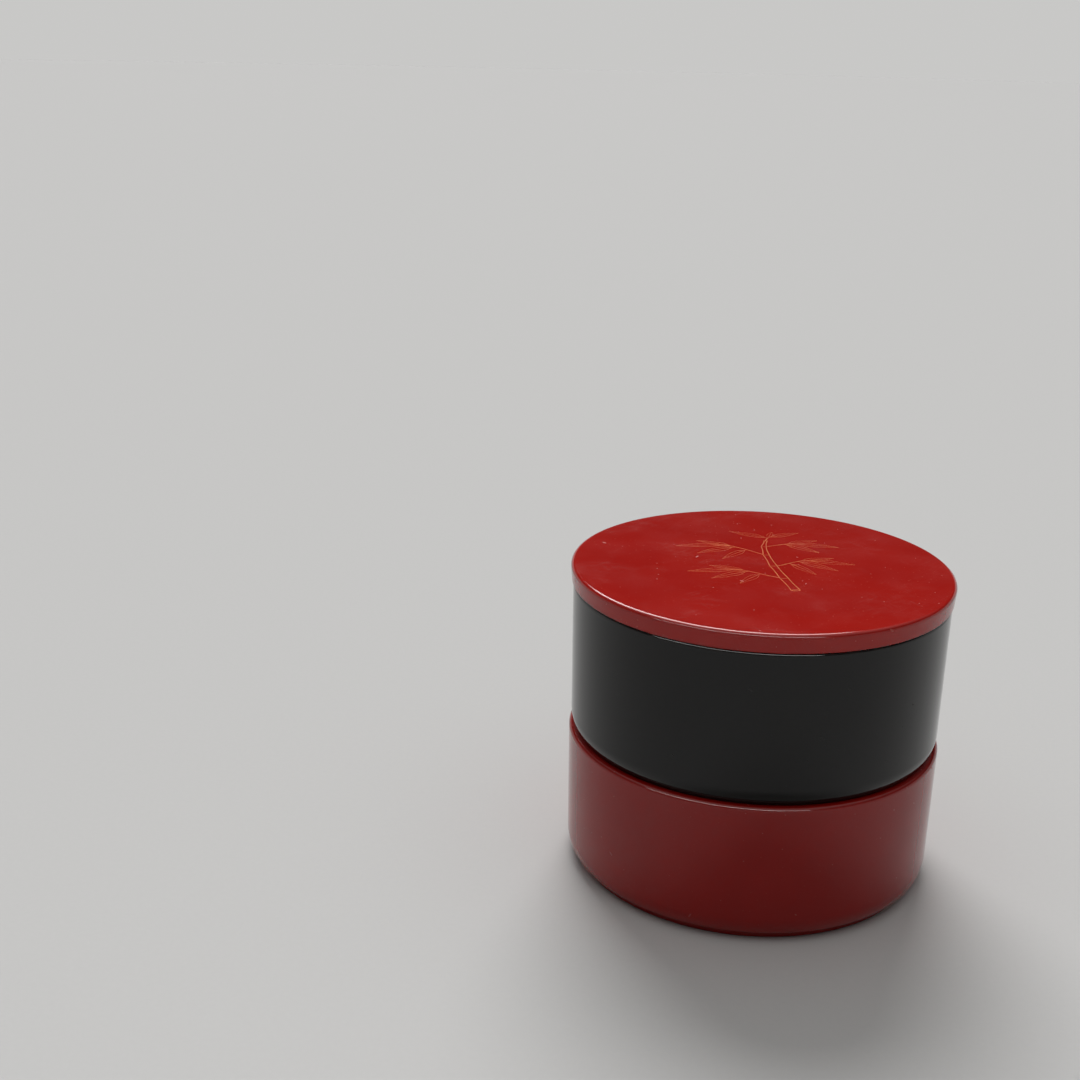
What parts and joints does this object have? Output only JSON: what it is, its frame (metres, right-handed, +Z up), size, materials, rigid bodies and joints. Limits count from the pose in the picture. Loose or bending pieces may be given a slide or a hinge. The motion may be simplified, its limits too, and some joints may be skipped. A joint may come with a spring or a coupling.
{
  "type": "stacking lacquer box",
  "caption": "Round stacking food box in glossy lacquer: hoop-sided red and black tiers that nest by foot rings, under a flat red lid with fine gold line work.",
  "frame": {"origin": "centre of the lower foot ring's bottom face, on the surface that the box stands on", "axes": "+Z up along the common axis of both tiers and the lid; X and Y are free, the box being round"},
  "size_m": [0.195, 0.195, 0.1619],
  "materials": {
    "lid_outside": "gloss vermilion-red lacquer over wood, with fine gold line work on the top and hairline scratches",
    "upper_outside": "gloss black lacquer over wood",
    "lower_outside": "gloss deep red lacquer over wood",
    "inside_red": "satin red lacquer over wood",
    "gold_line": "thin gold line work, a little rubbed, on the lid's top"
  },
  "bodies": {
    "lower_tier": {"lower_side_hoop": "lower_outside", "lower_base_board": "inside_red", "lower_foot_ring": "lower_outside", "lower_corner_bead": "inside_red"},
    "upper_tier": {"upper_side_hoop": "upper_outside", "upper_base_board": "inside_red", "upper_foot_ring": "upper_outside", "upper_corner_bead": "inside_red"},
    "lid": {"lid_top_board": "lid_outside", "lid_rim_hoop": "lid_outside", "lid_seat_ring": "inside_red", "lid_corner_bead": "inside_red"}
  },
  "joints": [
    {"name": "upper_tier_lift", "type": "slide", "parent": "lower_tier", "child": "upper_tier", "axis": [0, 0, 1], "range_m": [0, 0.12]},
    {"name": "lid_lift", "type": "slide", "parent": "upper_tier", "child": "lid", "axis": [0, 0, 1], "range_m": [0, 0.12]}
  ]
}
